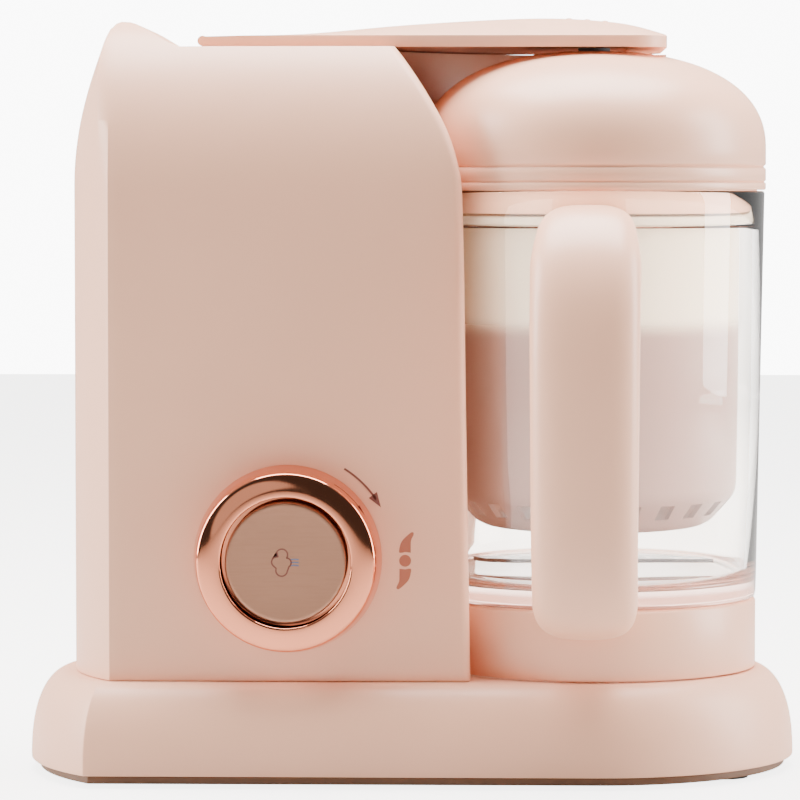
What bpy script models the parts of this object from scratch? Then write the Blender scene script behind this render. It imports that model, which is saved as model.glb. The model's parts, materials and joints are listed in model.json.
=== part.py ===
"""Baby food maker: a steam tower with a belt-driven blender bowl beside it.

Metres, +Z up. The front faces -Y, the tower stands at -X and the bowl at +X.
The origin is on the ground, at the middle of the object's bounding box.
"""
import math
import bpy
import bmesh
from mathutils import Matrix, Vector

# ---- driving dimensions (metres) --------------------------------------------------
GAP = 0.0003                      # clearance kept between touching pieces
BOWL_AXIS = Vector((0.0623, 0.0143, 0.0))

# base
PLATE_BOTTOM, PLATE_TOP = 0.0012, 0.0038
BASE_BOTTOM, BASE_TOP = 0.0041, 0.0341
BASE_WALL = 0.0025
SKIRT_OUT = 0.0129                # how far the skirt stands out at the ground
BASE_RING_R = 0.0564              # round end under the bowl
BASE_FRONT, BASE_BACK = -0.056, 0.0665        # from the bowl axis
FOOT_R, FOOT_H = 0.008, 0.0009

# tower (x and y are measured from the bowl axis)
TOWER_BOTTOM = BASE_TOP + GAP
TOWER_WALL = 0.0024
TOWER_FRONT, TOWER_BACK = -0.054, 0.066
TOWER_LEFT, TOWER_LEFT_R = -0.1785, 0.075     # leftmost point and radius of the side
CREASE_X = -0.163                 # sharp front left corner
SHELF_Z, RIDGE_Z = 0.247, 0.256   # flat top, and the raised left edge
SHELF_LEFT, RIDGE_RIGHT = -0.1405, -0.1586
FRONT_BEND_Z = 0.197              # above this the front face curves back
FRONT_BEND_DEPTH = 0.044
RECESS_Y, RECESS_R = -0.003, 0.066            # hollow that takes the bowl
WING_RIGHT = 0.027                # rear wall behind the bowl ends here
MOUTH = Vector((-0.102, 0.012))   # water filler, from the bowl axis

# bowl, lid and basket
BOWL_TOP, BOWL_BOTTOM = 0.1983, 0.0583
BOWL_TOP_R, BOWL_BOTTOM_R = 0.0588, 0.0562
BOWL_FLOOR = 0.064
LID_BOTTOM, LID_R, LID_APEX = 0.1986, 0.0592, 0.2465
DOME_START, DOME_POWER = 0.2125, 2.3
LID_WALL = 0.0024
BASKET_R, BASKET_BOTTOM, BASKET_TOP = 0.0505, 0.082, 0.1895
BASKET_SLOTS = 24

# steam arm
ARM_UNDER = 0.2476
ARM_LEFT, ARM_RIGHT = -0.1334, 0.0255
ARM_FRONT, ARM_REAR = -0.024, 0.062
ARM_WALL = 0.0018
HINGE_Z, HINGE_R = 0.2492, 0.0008

# knob on the tower's front
KNOB = Vector((-0.103, TOWER_FRONT, 0.0755))
KNOB_R, KNOB_FACE_R, KNOB_HEIGHT = 0.0315, 0.0298, 0.0165
BUTTON_R = 0.0202

# belt drive in the base
MOTOR = Vector((-0.104, 0.022))   # motor axis, from the bowl axis
BIG_PULLEY_R, SMALL_PULLEY_R = 0.028, 0.009
PULLEY_LOW, PULLEY_HIGH = 0.012, 0.019
SHAFT_R = 0.004

ROUND = 32                        # sides of a large turned piece
SMALL_ROUND = 20

# name: colour, metallic, roughness
MATERIALS = {
    "peach_plastic": ((0.78, 0.56, 0.44), 0.0, 0.45),
    "brown_plastic": ((0.22, 0.13, 0.08), 0.0, 0.6),
    "rose_gold": ((0.80, 0.50, 0.40), 1.0, 0.12),
    "satin_copper": ((0.62, 0.40, 0.30), 0.8, 0.4),
    "clear_bowl": ((0.92, 0.88, 0.84), 0.0, 0.05),
    "tinted_basket": ((0.62, 0.50, 0.47), 0.0, 0.3),
    "steel": ((0.55, 0.55, 0.56), 1.0, 0.3),
    "aluminium": ((0.70, 0.70, 0.70), 1.0, 0.4),
    "silicone": ((0.75, 0.72, 0.70), 0.0, 0.7),
    "black_rubber": ((0.03, 0.03, 0.03), 0.0, 0.8),
    "grey_nylon": ((0.35, 0.35, 0.36), 0.0, 0.5),
    "green_board": ((0.05, 0.25, 0.12), 0.0, 0.5),
    "brass": ((0.70, 0.52, 0.22), 1.0, 0.3),
}


# ---- helpers ----------------------------------------------------------------------
def clear_scene():
    for obj in list(bpy.data.objects):
        bpy.data.objects.remove(obj, do_unlink=True)


def make_collection(name):
    collection = bpy.data.collections.new(name)
    bpy.context.scene.collection.children.link(collection)
    return collection


clear_scene()
PARTS = make_collection("baby_food_maker")
CUTTERS = make_collection("cutters")


def make_material(piece, kind):
    colour, metallic, roughness = MATERIALS[kind]
    material = bpy.data.materials.new(piece + "_" + kind)
    material.use_nodes = True
    shader = material.node_tree.nodes["Principled BSDF"]
    shader.inputs["Base Color"].default_value = (*colour, 1.0)
    shader.inputs["Metallic"].default_value = metallic
    shader.inputs["Roughness"].default_value = roughness
    return material


def add_object(name, data, kind, parent=None):
    """Put an object in the parts, or in the cutters when it has no material."""
    obj = bpy.data.objects.new(name, data)
    if kind:
        PARTS.objects.link(obj)
        obj.data.materials.append(make_material(name, kind))
    else:
        CUTTERS.objects.link(obj)
        obj.hide_render = True
        obj.display_type = "WIRE"
    if parent:
        obj.parent = parent
    return obj


def pivot(name, location):
    """Empty on a joint's axis; the moving pieces hang from it."""
    empty = bpy.data.objects.new(name, None)
    empty.location = location
    empty.empty_display_size = 0.01
    PARTS.objects.link(empty)
    return empty


def place(obj, location):
    """World location, also for a piece that hangs from a pivot."""
    offset = obj.parent.location if obj.parent else Vector((0, 0, 0))
    obj.location = Vector(location) - offset


def mesh_from_bmesh(name, shape):
    mesh = bpy.data.meshes.new(name)
    shape.to_mesh(mesh)
    shape.free()
    return mesh


def smooth(obj, angle=35):
    obj.data.shade_smooth()
    obj.data.set_sharp_from_angle(angle=math.radians(angle))


def box(name, kind, low, high, parent=None, bevel=0.0):
    """Box between two corners given from the bowl axis."""
    low, high = Vector(low), Vector(high)
    shape = bmesh.new()
    bmesh.ops.create_cube(shape, size=1.0)
    bmesh.ops.scale(shape, vec=high - low, verts=shape.verts)
    obj = add_object(name, mesh_from_bmesh(name, shape), kind, parent)
    place(obj, BOWL_AXIS + (low + high) / 2)
    if bevel:
        add_bevel(obj, bevel)
    return obj


def add_bevel(obj, width, segments=2, angle=30):
    bevel = obj.modifiers.new("Bevel", "BEVEL")
    bevel.width = width
    bevel.segments = segments
    bevel.limit_method = "ANGLE"
    bevel.angle_limit = math.radians(angle)


def cylinder(name, kind, radius, start, end, parent=None, sides=SMALL_ROUND):
    """Cylinder between two points given from the bowl axis."""
    start, end = Vector(start), Vector(end)
    shape = bmesh.new()
    bmesh.ops.create_cone(shape, cap_ends=True, segments=sides, radius1=radius,
                          radius2=radius, depth=(end - start).length)
    obj = add_object(name, mesh_from_bmesh(name, shape), kind, parent)
    obj.rotation_euler = (end - start).to_track_quat("Z", "Y").to_euler()
    place(obj, BOWL_AXIS + (start + end) / 2)
    if kind:
        smooth(obj)
    return obj


def turned(name, kind, profile, centre=(0, 0, 0), parent=None, sides=ROUND,
           closed=True, along_front=False):
    """Screw a profile of (radius, height) points that runs down its outer side.

    An open profile starts and ends on the axis. along_front lays the axis
    along -Y, so heights point out of the tower's front.
    """
    mesh = bpy.data.meshes.new(name)
    edges = [(i, i + 1) for i in range(len(profile) - 1)]
    if closed:
        edges.append((len(profile) - 1, 0))
    mesh.from_pydata([(r, 0.0, z) for r, z in profile], edges, [])
    obj = add_object(name, mesh, kind, parent)
    screw = obj.modifiers.new("Screw", "SCREW")
    screw.steps = sides
    screw.render_steps = sides
    screw.use_merge_vertices = True
    screw.merge_threshold = 0.0001
    screw.use_smooth_shade = True
    if along_front:
        obj.rotation_euler = (math.radians(90), 0, 0)
    place(obj, BOWL_AXIS + Vector(centre))
    return obj


def plate(name, kind, outline, low, high, parent=None):
    """Upright prism of an outline of (x, y) points from the bowl axis."""
    shape = bmesh.new()
    bottom = [shape.verts.new((x, y, low)) for x, y in outline]
    face = shape.faces.new(bottom)
    grown = bmesh.ops.extrude_face_region(shape, geom=[face])
    top = [v for v in grown["geom"] if isinstance(v, bmesh.types.BMVert)]
    bmesh.ops.translate(shape, vec=(0, 0, high - low), verts=top)
    bmesh.ops.recalc_face_normals(shape, faces=shape.faces)
    obj = add_object(name, mesh_from_bmesh(name, shape), kind, parent)
    place(obj, BOWL_AXIS)
    return obj


def prism(name, outline, direction, low, high):
    """Cutter: an outline swept along X or Y between two places."""
    obj = plate(name, None, outline, low, high)
    turn = {"X": Matrix(((0, 0, 1), (1, 0, 0), (0, 1, 0))),
            "Y": Matrix(((1, 0, 0), (0, 0, 1), (0, 1, 0)))}[direction]
    obj.data.transform(turn.to_4x4())
    if turn.determinant() < 0:
        obj.data.flip_normals()
    return obj


def loft(name, kind, sections, parent=None):
    """Skin over equal-length rings of points, closed by a face at each end."""
    shape = bmesh.new()
    rings = [[shape.verts.new(p) for p in section] for section in sections]
    for lower, upper in zip(rings, rings[1:]):
        for i, corner in enumerate(lower):
            j = (i + 1) % len(lower)
            shape.faces.new((corner, lower[j], upper[j], upper[i]))
    shape.faces.new(list(reversed(rings[0])))
    shape.faces.new(rings[-1])
    bmesh.ops.recalc_face_normals(shape, faces=shape.faces)
    obj = add_object(name, mesh_from_bmesh(name, shape), kind, parent)
    place(obj, BOWL_AXIS)
    return obj


def boolean(obj, other, operation="DIFFERENCE"):
    modifier = obj.modifiers.new(other.name, "BOOLEAN")
    modifier.operation = operation
    modifier.object = other
    modifier.solver = "EXACT"


def arc(centre, radius, start, end, steps):
    """Points on a circle; angles in degrees."""
    points = []
    for i in range(steps + 1):
        angle = math.radians(start + (end - start) * i / steps)
        points.append((centre[0] + radius * math.cos(angle),
                       centre[1] + radius * math.sin(angle)))
    return points


def ellipse(centre, width, height, start, end, steps):
    return [(centre[0] + width * x, centre[1] + height * y)
            for x, y in arc((0, 0), 1.0, start, end, steps)]


def interpolate(points, x):
    """Height at x on straight runs between a few chosen (x, height) points."""
    for (x0, y0), (x1, y1) in zip(points, points[1:]):
        if x <= x1:
            t = min(max((x - x0) / (x1 - x0), 0.0), 1.0)
            return y0 + (y1 - y0) * t
    return points[-1][1]


# ---- plan outlines, from the bowl axis --------------------------------------------
def side_circle(offset):
    """Centre and radius of the arc that bounds the left side."""
    radius = TOWER_LEFT_R + offset
    centre_x = TOWER_LEFT + TOWER_LEFT_R
    reach = math.sqrt(TOWER_LEFT_R ** 2 - (CREASE_X - centre_x) ** 2)
    return Vector((centre_x, TOWER_FRONT + reach)), radius


def left_side(offset, front, back, steps=10):
    """From the back line, round the left side, to the front left crease."""
    centre, radius = side_circle(offset)
    crease = 180 + math.degrees(math.asin((centre.y - front) / radius))
    points = ellipse(centre, radius, back - centre.y, 90, 180, steps)
    return points + arc(centre, radius, 180, crease, steps // 2)[1:]


def base_outline(offset):
    front, back = BASE_FRONT - offset, BASE_BACK + 0.2 * offset
    ring = BASE_RING_R + offset
    end = ellipse((0, 0), ring, ring, -90, 0, 12) + ellipse((0, 0), ring, back, 0, 90, 12)[1:]
    return end + left_side(offset + 0.0025, front, back)


def tower_outline(offset, right):
    """Tower plan before the bowl's hollow is cut out of it."""
    front, back = TOWER_FRONT - offset, TOWER_BACK + offset
    return [(right, front), (right, back)] + left_side(offset, front, back)


# ---- base -------------------------------------------------------------------------
SCREW_SPOTS = [(-0.150, -0.038), (-0.145, 0.036), (0.018, -0.045), (0.018, 0.045)]
FOOT_SPOTS = [(-0.166, -0.040), (-0.158, 0.030), (0.044, -0.034), (0.044, 0.034)]


def skirt_offset(height):
    """Quarter ellipse from the top edge out to the ground."""
    drop = (BASE_TOP - height) / (BASE_TOP - BASE_BOTTOM)
    return SKIRT_OUT * math.sqrt(max(0.0, 1 - (1 - drop) ** 2.4))


def base_sections(inset, top):
    levels = [0.0, 0.15, 0.35, 0.55, 0.75, 0.9, 0.97, 1.0]
    sections = []
    for level in levels:
        height = BASE_BOTTOM - inset + (top - BASE_BOTTOM + inset) * level
        height_on_skirt = BASE_BOTTOM + (BASE_TOP - BASE_BOTTOM) * level
        outline = base_outline(skirt_offset(height_on_skirt) - inset)
        sections.append([(x, y, height) for x, y in outline])
    return sections


def make_base():
    base = loft("base_shell", "peach_plastic", base_sections(0.0, BASE_TOP))
    hollow = loft("base_hollow", None, base_sections(BASE_WALL, BASE_TOP - BASE_WALL))
    boolean(base, hollow)
    for i, (x, y) in enumerate(SCREW_SPOTS, 1):
        boss = cylinder(f"boss_{i}", None, 0.005, (x, y, BASE_BOTTOM), (x, y, BASE_TOP - 0.001))
        boolean(base, boss, "UNION")
        hole = cylinder(f"boss_hole_{i}", None, 0.0017, (x, y, 0.0), (x, y, 0.020))
        boolean(base, hole)
    opening = box("base_opening", None, (MOTOR.x - 0.030, MOTOR.y - 0.026, 0.028),
                  (MOTOR.x + 0.030, MOTOR.y + 0.026, 0.040))
    shaft_hole = cylinder("base_shaft_hole", None, 0.0103, (0, 0, 0.028), (0, 0, 0.040))
    boolean(base, opening)
    boolean(base, shaft_hole)

    bottom = plate("bottom_plate", "brown_plastic", base_outline(SKIRT_OUT - 0.003),
                   PLATE_BOTTOM, PLATE_TOP)
    for i, (x, y) in enumerate(SCREW_SPOTS, 1):
        screw_hole = cylinder(f"plate_hole_{i}", None, 0.0036, (x, y, 0.0), (x, y, 0.0026))
        shank_hole = cylinder(f"shank_hole_{i}", None, 0.0018, (x, y, 0.0), (x, y, 0.006))
        boolean(bottom, screw_hole)
        boolean(bottom, shank_hole)
        turned(f"base_screw_{i}", "steel",
               [(0, 0.0160), (0.0013, 0.0150), (0.0013, 0.0022), (0.0030, 0.0022),
                (0.0030, 0.0012), (0, 0.0010)],
               (x, y, 0), sides=12, closed=False)
    for i, (x, y) in enumerate(FOOT_SPOTS, 1):
        cylinder(f"foot_{i}", "black_rubber", FOOT_R, (x, y, 0), (x, y, FOOT_H))


# ---- tower ------------------------------------------------------------------------
def front_profile(inset):
    """(y, z) outline of the tower seen from its end."""
    front, back, top = TOWER_FRONT + inset, TOWER_BACK - inset, RIDGE_Z - inset + 0.0005
    bend = ellipse((front + FRONT_BEND_DEPTH, FRONT_BEND_Z), FRONT_BEND_DEPTH,
                   top - FRONT_BEND_Z, 180, 90, 12)
    corner = arc((back - 0.012, top - 0.012), 0.012, 90, 0, 4)
    bottom = TOWER_BOTTOM - inset
    return [(front, bottom)] + bend + corner + [(back, bottom)]


def lean(height):
    """How far the left side leans in above the bend."""
    return max(0.0, height - 0.200) ** 2 / 0.208


def face_profile(inset):
    """(x, z) outline of the tower seen from the front."""
    left = TOWER_LEFT + inset
    levels = [0.200 + 0.0085 * i for i in range(7)]
    side = [(left + lean(z), z) for z in levels[:-1]]
    peak = [(-0.1636 + inset, 0.2545 - inset), (-0.1612, RIDGE_Z - inset),
            (RIDGE_RIGHT, RIDGE_Z - inset)]
    slope = [(SHELF_LEFT, SHELF_Z - inset), (0.060, SHELF_Z - inset)]
    return ([(left, TOWER_BOTTOM - inset)] + side + peak + slope
            + [(0.060, TOWER_BOTTOM - inset)])


def recess_profile(grow):
    """Turned hollow for the bowl; it flares open towards the top."""
    radius = RECESS_R + grow
    return [(0, 0.270), (radius + 0.010, 0.270), (radius + 0.010, 0.249),
            (radius + 0.0065, 0.244), (radius + 0.003, 0.234), (radius, 0.214),
            (radius, 0.020), (0, 0.020)]


def wing_gap_outline(grow):
    """(x, z) space below the rear wall, open under the bowl's back."""
    left, low, high = -0.046 - grow, 0.060, 0.150 + grow
    edge = ellipse((0.060, low), 0.060 - left, high - low, 180, 110, 8)
    return [(0.080, 0.010), (left, 0.010)] + edge + [(0.080, high)]


def tower_body(name, kind, inset, right):
    body = plate(name, kind, tower_outline(-inset, right), TOWER_BOTTOM - inset, 0.262)
    boolean(body, prism(name + "_side", front_profile(inset), "X", -0.3, 0.3), "INTERSECT")
    boolean(body, prism(name + "_face", face_profile(inset), "Y", -0.3, 0.3), "INTERSECT")
    boolean(body, turned(name + "_recess", None, recess_profile(inset), (0, RECESS_Y, 0),
                         closed=False, sides=48))
    boolean(body, prism(name + "_wing_gap", wing_gap_outline(inset), "Y", -0.02, 0.2))
    return body


def make_tower():
    tower = tower_body("tower_shell", "peach_plastic", 0.0, WING_RIGHT)
    hollow = tower_body("tower_hollow", None, TOWER_WALL, -0.024)
    boolean(tower, hollow)
    knob_hole = cylinder("knob_hole", None, 0.0080, KNOB + Vector((0, -0.01, 0)),
                         KNOB + Vector((0, 0.01, 0)))
    mouth_hole = cylinder("mouth_hole", None, 0.0214, (*MOUTH, 0.240), (*MOUTH, 0.252), sides=32)
    hinge_slot = box("hinge_slot", None, (ARM_LEFT - 0.0024, 0.0135, 0.240),
                     (ARM_LEFT + 0.0024, 0.0265, 0.252))
    gland_hole = cylinder("gland_hole", None, 0.0063, (-0.110, 0.050, 0.050), (-0.110, 0.080, 0.050))
    for cutter in (knob_hole, mouth_hole, hinge_slot, gland_hole):
        boolean(tower, cutter)
    gland = [(0.0085, 0.0025), (0.0085, 0.0005), (0.0060, 0.0005), (0.0060, -0.0070),
             (0.0032, -0.0070), (0.0032, 0.0025)]
    grommet = turned("cord_gland", "black_rubber", gland, (-0.110, TOWER_BACK, 0.050),
                     sides=SMALL_ROUND)
    grommet.rotation_euler = (math.radians(-90), 0, 0)


# ---- boiler -----------------------------------------------------------------------
def make_boiler():
    x, y = MOUTH
    turned("boiler_tank", "steel",
           [(0, 0.1700), (0.0240, 0.1700), (0.0280, 0.1740), (0.0280, 0.2320),
            (0.0300, 0.2320), (0.0300, 0.1730), (0.0250, 0.1680), (0, 0.1680)],
           (x, y, 0), closed=False, sides=24)
    turned("boiler_neck", "steel",
           [(0.0188, 0.2466), (0.0188, 0.2400), (0.0300, 0.2345), (0.0300, 0.2323),
            (0.0282, 0.2323), (0.0170, 0.2380), (0.0170, 0.2466)],
           (x, y, 0), sides=24)
    turned("boiler_seal", "silicone",
           [(0.0230, 0.2442), (0.0230, 0.2412), (0.0192, 0.2412), (0.0192, 0.2442)],
           (x, y, 0), sides=32)
    turned("heating_plate", "aluminium",
           [(0.0270, 0.1677), (0.0270, 0.1625), (0.0100, 0.1625), (0.0100, 0.1677)],
           (x, y, 0), sides=32)
    cylinder("thermostat", "steel", 0.0085, (x, y, 0.1560), (x, y, 0.1674))
    cylinder("thermal_fuse", "brass", 0.0022, (x - 0.010, y + 0.016, 0.1595),
             (x + 0.010, y + 0.016, 0.1595), sides=12)
    ring = turned("boiler_bracket", "steel",
                  [(0.0330, 0.1800), (0.0330, 0.1780), (0.0303, 0.1780), (0.0303, 0.1800)],
                  (x, y, 0), sides=32)
    leg = box("boiler_leg", None, (x - 0.006, y + 0.0312, 0.1760),
              (x + 0.006, TOWER_BACK - TOWER_WALL - 0.0008, 0.1790))
    boolean(ring, leg, "UNION")


# ---- steam arm, which swings up about its left end ----------------------------------
ARM_CROWN = [(-0.136, 0.2508), (-0.128, 0.2513), (-0.101, 0.2528), (-0.067, 0.2561),
             (-0.032, 0.2583), (-0.010, 0.2586), (0.007, 0.2571), (0.016, 0.2554),
             (0.026, 0.2520)]


def arm_section(x, inset, under):
    """(x, y, z) ring: flat underside, low side walls and an arched top."""
    rounded = 0.014
    reach = min(ARM_RIGHT - x, rounded)
    narrow = rounded - math.sqrt(max(0.0, rounded ** 2 - (rounded - reach) ** 2))
    front, rear = ARM_FRONT + inset + narrow, ARM_REAR - inset - narrow
    crown = interpolate(ARM_CROWN, x) - inset
    side = min(0.2512, 0.5 * (crown + inset + ARM_UNDER) + 0.0015) - inset
    ring = [(x, front, under), (x, front, side)]
    for step in range(1, 8):
        across = step / 8
        height = side + (crown - side) * math.sin(math.pi * across) ** 0.8
        ring.append((x, front + (rear - front) * across, height))
    return ring + [(x, rear, side), (x, rear, under)]


def make_arm(arm):
    stations = [ARM_LEFT, -0.128, -0.115, -0.101, -0.084, -0.067, -0.050, -0.032, -0.015,
                0.000, 0.0115, 0.018, 0.0225, 0.0248]
    cover = loft("arm_cover", "peach_plastic",
                 [arm_section(x, 0.0, ARM_UNDER) for x in stations], arm)
    inside = [-0.124] + stations[2:-2] + [0.0215]
    hollow = loft("arm_hollow", None,
                  [arm_section(x, ARM_WALL, ARM_UNDER - 0.002) for x in inside])
    knuckle = cylinder("arm_knuckle", None, HINGE_Z - ARM_UNDER + 0.0002,
                       (ARM_LEFT, ARM_FRONT, HINGE_Z), (ARM_LEFT, ARM_REAR, HINGE_Z))
    notch = box("arm_notch", None, (ARM_LEFT - 0.004, 0.0138, 0.244),
                (ARM_LEFT + 0.0028, 0.0262, 0.256))
    bore = cylinder("arm_bore", None, HINGE_R + 0.0003, (ARM_LEFT, -0.0065, HINGE_Z),
                    (ARM_LEFT, 0.0465, HINGE_Z), sides=12)
    boolean(cover, knuckle, "UNION")
    for cutter in (hollow, notch, bore):
        boolean(cover, cutter)

    inner = [(x, y) for x, y in ((-0.1236, ARM_FRONT + 0.0021), (0.010, ARM_FRONT + 0.0021),
                                 (0.0205, ARM_FRONT + 0.014), (0.0205, ARM_REAR - 0.014),
                                 (0.010, ARM_REAR - 0.0021), (-0.1236, ARM_REAR - 0.0021))]
    liner = plate("arm_liner", "peach_plastic", inner, ARM_UNDER, ARM_UNDER + 0.0012, arm)
    for name, (x, y), radius in (("plug_port", MOUTH, 0.0045), ("nozzle_port", (0, 0), 0.0033)):
        port = cylinder(name, None, radius, (x, y, 0.240), (x, y, 0.251))
        boolean(liner, port)
    turned("boiler_plug", "silicone",
           [(0.0150, 0.2473), (0.0150, 0.2440), (0.0135, 0.2400), (0.0045, 0.2400),
            (0.0045, 0.2473)], (*MOUTH, 0), arm, sides=32)
    turned("steam_nozzle", "grey_nylon",
           [(0.0055, 0.2473), (0.0055, 0.2425), (0.0045, 0.2400), (0.0033, 0.2400),
            (0.0033, 0.2473)], (0, 0, 0), arm, sides=SMALL_ROUND)
    cylinder("arm_hinge_pin", "steel", HINGE_R, (ARM_LEFT, -0.006, HINGE_Z),
             (ARM_LEFT, 0.046, HINGE_Z), sides=12)
    bracket = box("hinge_bracket", "steel", (ARM_LEFT - 0.0019, 0.0142, 0.2405),
                  (ARM_LEFT + 0.0019, 0.0258, 0.2508))
    flange = box("bracket_flange", None, (ARM_LEFT - 0.006, 0.0100, 0.2405),
                 (ARM_LEFT + 0.006, 0.0300, 0.2440))
    pin_hole = cylinder("bracket_bore", None, HINGE_R + 0.0003, (ARM_LEFT, 0, HINGE_Z),
                        (ARM_LEFT, 0.040, HINGE_Z), sides=12)
    boolean(bracket, flange, "UNION")
    boolean(bracket, pin_hole)


# ---- bowl, collar and handle: they lift and turn as one -----------------------------
def make_bowl(bowl):
    collar_r, skirt_r = BOWL_BOTTOM_R, 0.0525
    turned("bowl_clear", "clear_bowl",
           [(BOWL_TOP_R, BOWL_TOP), (BOWL_BOTTOM_R, BOWL_BOTTOM + 0.001),
            (0.0555, BOWL_BOTTOM), (skirt_r, BOWL_BOTTOM), (skirt_r, 0.0500),
            (0.0500, 0.0500), (0.0500, 0.0600), (0.0062, 0.0600), (0.0062, BOWL_FLOOR),
            (0.0490, BOWL_FLOOR), (0.0522, 0.0655), (0.0533, 0.0690), (0.0551, 0.1850),
            (0.0566, 0.1862), (0.0567, BOWL_TOP)], parent=bowl)
    turned("bowl_collar", "peach_plastic",
           [(collar_r - 0.0006, 0.0580), (collar_r, 0.0574), (collar_r, BASE_TOP + 2 * GAP),
            (0.0528, BASE_TOP + 2 * GAP), (0.0528, 0.0580)], parent=bowl)
    make_handle(bowl)


HANDLE_PATH = [(0.0590, 0.1850, 0.0165), (0.0690, 0.1835, 0.0180), (0.0790, 0.1760, 0.0190),
               (0.0860, 0.1630, 0.0190), (0.0885, 0.1450, 0.0185), (0.0885, 0.1200, 0.0180),
               (0.0880, 0.0950, 0.0175), (0.0865, 0.0780, 0.0170), (0.0800, 0.0640, 0.0170),
               (0.0700, 0.0590, 0.0165), (0.0590, 0.0580, 0.0160)]
HANDLE_TOP_WIDTH, HANDLE_LOW_WIDTH = 0.0366, 0.0345
HANDLE_TURN = math.radians(-3.0)  # the handle points a little to the left


def handle_sections(sides=16, power=3.2):
    """Superellipse rings along a C-shaped path of (reach, height, thickness)."""
    sections = []
    for i, (reach, height, thick) in enumerate(HANDLE_PATH):
        before, after = HANDLE_PATH[max(i - 1, 0)], HANDLE_PATH[min(i + 1, len(HANDLE_PATH) - 1)]
        along = Vector((after[0] - before[0], after[1] - before[1])).normalized()
        if i in (0, len(HANDLE_PATH) - 1):
            along = Vector((1.0 if i == 0 else -1.0, 0.0))
        across = Vector((-along.y, along.x))
        drop = (HANDLE_PATH[0][1] - height) / (HANDLE_PATH[0][1] - HANDLE_PATH[-1][1])
        width = HANDLE_TOP_WIDTH + (HANDLE_LOW_WIDTH - HANDLE_TOP_WIDTH) * drop
        ring = []
        for step in range(sides):
            angle = 2 * math.pi * step / sides
            c, s = math.cos(angle), math.sin(angle)
            side = math.copysign(abs(c) ** (2 / power), c) * width / 2
            out = math.copysign(abs(s) ** (2 / power), s) * thick / 2
            ring.append((side, -(reach + across.x * out), height + across.y * out))
        sections.append(ring)
    return sections


def make_handle(bowl):
    handle = loft("bowl_handle", "peach_plastic", handle_sections(), bowl)
    handle.data.transform(Matrix.Rotation(HANDLE_TURN, 4, "Z"))
    smooth(handle, 50)


def make_basket(bowl):
    r = BASKET_R
    basket = turned("steam_basket", "tinted_basket",
                    [(0, BASKET_TOP), (0.0558, BASKET_TOP), (0.0558, BASKET_TOP - 0.0030),
                     (r, BASKET_TOP - 0.0030), (r - 0.0010, 0.0935),
                     (0.0400, BASKET_BOTTOM + 0.0010), (0.0380, BASKET_BOTTOM), (0, BASKET_BOTTOM)],
                    (0, 0, 0), bowl, closed=False, sides=36)
    inner = turned("basket_hollow", None,
                   [(0, 0.200), (r - 0.0016, 0.200), (r - 0.0016, 0.1850), (r - 0.0026, 0.0945),
                    (0.0388, BASKET_BOTTOM + 0.0018), (0, BASKET_BOTTOM + 0.0018)],
                   closed=False, sides=36)
    boolean(basket, inner)
    for i in range(BASKET_SLOTS // 2):
        slot = box(f"basket_slot_{i + 1}", None, (-0.060, -0.0027, 0.0868), (0.060, 0.0027, 0.0918))
        slot.rotation_euler = (0, 0, math.radians(180 / (BASKET_SLOTS // 2) * i))
        slot.location.xy = BOWL_AXIS.xy
        boolean(basket, slot)


def dome(radius, height, steps=8):
    """Superellipse from the apex out to the band."""
    points = []
    for i in range(steps + 1):
        angle = math.pi / 2 * i / steps
        out = radius * math.sin(angle) ** (2 / DOME_POWER)
        up = height * max(math.cos(angle), 0.0) ** (2 / DOME_POWER)
        points.append((out, DOME_START + up))
    return points


def make_lid(lid):
    groove = 0.0007
    outer = dome(LID_R, LID_APEX - DOME_START)[1:]
    band = [(LID_R, 0.2072), (LID_R - groove, 0.2066), (LID_R, 0.2060), (LID_R, 0.2018),
            (LID_R - groove, 0.2012), (LID_R, 0.2006), (LID_R, LID_BOTTOM)]
    skirt = [(0.0562, LID_BOTTOM), (0.0562, 0.1905), (0.0540, 0.1905)]
    inner = dome(LID_R - LID_WALL - 0.002, LID_APEX - DOME_START - LID_WALL)[1:]
    port = [(0.0097, LID_APEX - LID_WALL), (0.0097, LID_APEX - 0.0001)]
    outer = [point for point in outer if point[0] > 0.0097]
    inner = [point for point in reversed(inner) if point[0] > 0.0097]
    turned("lid_dome", "peach_plastic", outer + band + skirt + inner + port, parent=lid, sides=36)
    turned("lid_port_seal", "silicone",
           [(0.0093, LID_APEX - 0.0004), (0.0093, 0.2436), (0.0062, 0.2436),
            (0.0062, LID_APEX - 0.0004)], parent=lid, sides=32)
    turned("lid_seal", "silicone",
           [(0.0537, 0.1960), (0.0537, 0.1915), (0.0515, 0.1915), (0.0515, 0.1960)],
           parent=lid)


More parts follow.
